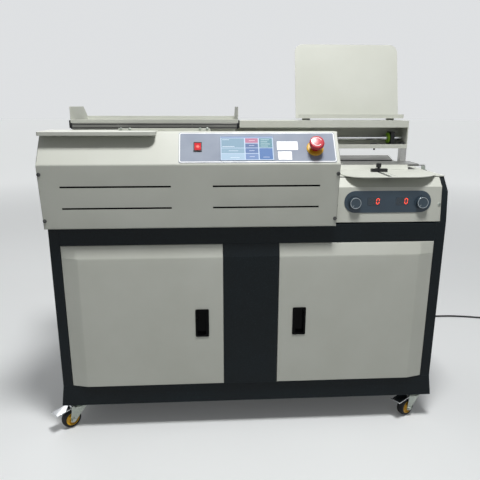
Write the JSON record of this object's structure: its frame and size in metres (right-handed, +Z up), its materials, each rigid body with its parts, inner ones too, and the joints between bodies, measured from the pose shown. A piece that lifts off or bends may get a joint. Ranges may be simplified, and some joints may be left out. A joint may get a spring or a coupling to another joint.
{
  "type": "thermal binding machine",
  "caption": "Floor-standing hot-melt book binder: wheeled steel cabinet with doors, sloping control panel, sliding book carriage on a beam, cover table and an upright document rest.",
  "frame": {"origin": "bottom centre of the machine's bounding box, cord apart, on the floor under the wheels", "axes": "+X along the machine's length to the operator's right, +Y from the front to the rear, +Z up"},
  "size_m": [1.9938, 0.8744, 1.2461],
  "materials": {
    "light_grey": "textured powder coat, light warm grey",
    "dark_grey": "textured powder coat, near black slate",
    "black_plastic": "moulded, fine grain",
    "steel": "ground and lightly brushed",
    "chrome": "polished",
    "zinc": "zinc plated, satin",
    "tyre": "moulded tread, satin",
    "screen": "smooth screen cover",
    "panel_film": "printed film on plate",
    "slate_plate": "satin slate blue paint",
    "red": "moulded, semi gloss",
    "yellow": "moulded, semi gloss",
    "lime": "moulded buffer, satin",
    "cord_black": "smooth jacket, satin"
  },
  "bodies": {
    "cabinet": {"base_frame": "dark_grey", "left_side_panel": "dark_grey", "right_side_panel": "dark_grey", "top_rail": "dark_grey", "centre_panel": "dark_grey", "rear_panel": "dark_grey", "deck_plate": "light_grey", "front_cover": "light_grey", "control_panel": "panel_film", "touch_screen": "screen", "rocker_bezel": "black_plastic", "stop_collar_ring": "yellow", "left_table": "light_grey", "console_cover": "light_grey", "console_plate": "slate_plate", "left_display": "black_plastic", "right_display": "black_plastic", "cover_table": "light_grey", "nip_rear_jaw": "steel", "carriage_beam": "light_grey", "right_post": "steel", "guide_shaft": "chrome", "travel_stop": "black_plastic", "buffer_ring": "lime", "cutter_motor": "zinc", "glue_tank": "zinc", "chip_bin": "zinc", "electrics_box": "zinc", "cord_gland": "black_plastic", "power_cord": "cord_black", "cord_coil": "cord_black", "power_plug": "cord_black"},
    "left_door": {"left_door": "light_grey", "left_pull": "black_plastic"},
    "right_door": {"right_door": "light_grey", "right_pull": "black_plastic"},
    "power_rocker": {"power_rocker": "red"},
    "stop_head": {"stop_head": "red"},
    "left_knob": {"left_knob": "slate_plate"},
    "right_knob": {"right_knob": "slate_plate"},
    "side_guide": {"side_guide": "black_plastic"},
    "guide_screw": {"guide_screw": "black_plastic"},
    "nip_front_jaw": {"nip_front_jaw": "steel"},
    "carriage": {"carriage_tray": "light_grey", "carriage_rail": "dark_grey", "carriage_bushing": "steel"},
    "front_clamp_jaw": {"front_clamp_jaw": "steel"},
    "milling_cutter": {"milling_cutter": "steel"},
    "glue_roller": {"glue_roller": "steel"},
    "document_rest": {"document_rest": "light_grey"},
    "front_left_pedal": {"front_left_pedal": "chrome"},
    "front_right_pedal": {"front_right_pedal": "chrome"},
    "front_left_fork": {"front_left_fork": "zinc"},
    "front_left_wheel": {"front_left_wheel": "tyre"},
    "front_right_fork": {"front_right_fork": "zinc"},
    "front_right_wheel": {"front_right_wheel": "tyre"},
    "rear_left_fork": {"rear_left_fork": "zinc"},
    "rear_left_wheel": {"rear_left_wheel": "tyre"},
    "rear_right_fork": {"rear_right_fork": "zinc"},
    "rear_right_wheel": {"rear_right_wheel": "tyre"}
  },
  "joints": [
    {"name": "left_door_hinge", "type": "hinge", "parent": "cabinet", "child": "left_door", "pos_m": [-0.54395, -0.21896, 0.39], "axis": [0, 0, -1], "range_deg": [0, 100]},
    {"name": "right_door_hinge", "type": "hinge", "parent": "cabinet", "child": "right_door", "pos_m": [0.56205, -0.21896, 0.39], "axis": [0, 0, 1], "range_deg": [0, 100]},
    {"name": "power_rocker_tilt", "type": "hinge", "parent": "cabinet", "child": "power_rocker", "pos_m": [-0.14635, -0.24253, 0.91417], "axis": [1, 0, 0], "range_deg": [0, 8]},
    {"name": "emergency_stop_press", "type": "slide", "parent": "cabinet", "child": "stop_head", "axis": [0, 0.8017, -0.5978], "range_m": [0, 0.004], "stiffness_N_per_m": 600, "springref_m": -0.002},
    {"name": "left_knob_turn", "type": "hinge", "parent": "cabinet", "child": "left_knob", "pos_m": [0.32205, -0.21591, 0.74269], "axis": [0, -0.9951, 0.0986], "range_deg": [0, 300]},
    {"name": "right_knob_turn", "type": "hinge", "parent": "cabinet", "child": "right_knob", "pos_m": [0.52805, -0.21591, 0.74269], "axis": [0, -0.9951, 0.0986], "range_deg": [0, 300]},
    {"name": "side_guide_slide", "type": "slide", "parent": "cabinet", "child": "side_guide", "axis": [0, 1, 0], "range_m": [-0.085, 0.03]},
    {"name": "guide_screw_turn", "type": "hinge", "parent": "side_guide", "child": "guide_screw", "pos_m": [0.42785, -0.09996, 0.8324], "axis": [0, 0, 1], "range_deg": [0, 360]},
    {"name": "nip_slide", "type": "slide", "parent": "cabinet", "child": "nip_front_jaw", "axis": [0, 1, 0], "range_m": [0, 0.027]},
    {"name": "carriage_slide", "type": "slide", "parent": "cabinet", "child": "carriage", "axis": [1, 0, 0], "range_m": [0, 0.6]},
    {"name": "clamp_slide", "type": "slide", "parent": "carriage", "child": "front_clamp_jaw", "axis": [0, 1, 0], "range_m": [0, 0.05]},
    {"name": "cutter_spin", "type": "hinge", "parent": "cabinet", "child": "milling_cutter", "pos_m": [-0.03595, 0.04904, 0.8355], "axis": [0, 0, 1], "continuous": true},
    {"name": "glue_roller_spin", "type": "hinge", "parent": "cabinet", "child": "glue_roller", "pos_m": [0.11905, 0.05104, 0.8195], "axis": [0, 1, 0], "continuous": true},
    {"name": "document_rest_hinge", "type": "hinge", "parent": "cabinet", "child": "document_rest", "pos_m": [0.39705, 0.20304, 0.9785], "axis": [-1, 0, 0], "range_deg": [0, 60]},
    {"name": "front_left_swivel", "type": "hinge", "parent": "cabinet", "child": "front_left_fork", "pos_m": [-0.55595, -0.18796, 0.08], "axis": [0, 0, 1], "continuous": true},
    {"name": "front_left_wheel_spin", "type": "hinge", "parent": "front_left_fork", "child": "front_left_wheel", "pos_m": [-0.5801, -0.20895, 0.0315], "axis": [0.6561, -0.7547, 0], "continuous": true},
    {"name": "front_left_pedal_tilt", "type": "hinge", "parent": "front_left_fork", "child": "front_left_pedal", "pos_m": [-0.57934, -0.2083, 0.0745], "axis": [0.6561, -0.7547, 0], "range_deg": [0, 15]},
    {"name": "front_right_swivel", "type": "hinge", "parent": "cabinet", "child": "front_right_fork", "pos_m": [0.57405, -0.18796, 0.08], "axis": [0, 0, 1], "continuous": true},
    {"name": "front_right_wheel_spin", "type": "hinge", "parent": "front_right_fork", "child": "front_right_wheel", "pos_m": [0.54634, -0.20396, 0.0315], "axis": [0.5, -0.866, 0], "continuous": true},
    {"name": "front_right_pedal_tilt", "type": "hinge", "parent": "front_right_fork", "child": "front_right_pedal", "pos_m": [0.54721, -0.20346, 0.0745], "axis": [0.5, -0.866, 0], "range_deg": [0, 15]},
    {"name": "rear_left_swivel", "type": "hinge", "parent": "cabinet", "child": "rear_left_fork", "pos_m": [-0.55595, 0.24004, 0.08], "axis": [0, 0, 1], "continuous": true},
    {"name": "rear_left_wheel_spin", "type": "hinge", "parent": "rear_left_fork", "child": "rear_left_wheel", "pos_m": [-0.58602, 0.25099, 0.0315], "axis": [-0.342, -0.9397, 0], "continuous": true},
    {"name": "rear_right_swivel", "type": "hinge", "parent": "cabinet", "child": "rear_right_fork", "pos_m": [0.57405, 0.24004, 0.08], "axis": [0, 0, 1], "continuous": true},
    {"name": "rear_right_wheel_spin", "type": "hinge", "parent": "rear_right_fork", "child": "rear_right_wheel", "pos_m": [0.60412, 0.25099, 0.0315], "axis": [-0.342, 0.9397, 0], "continuous": true}
  ]
}
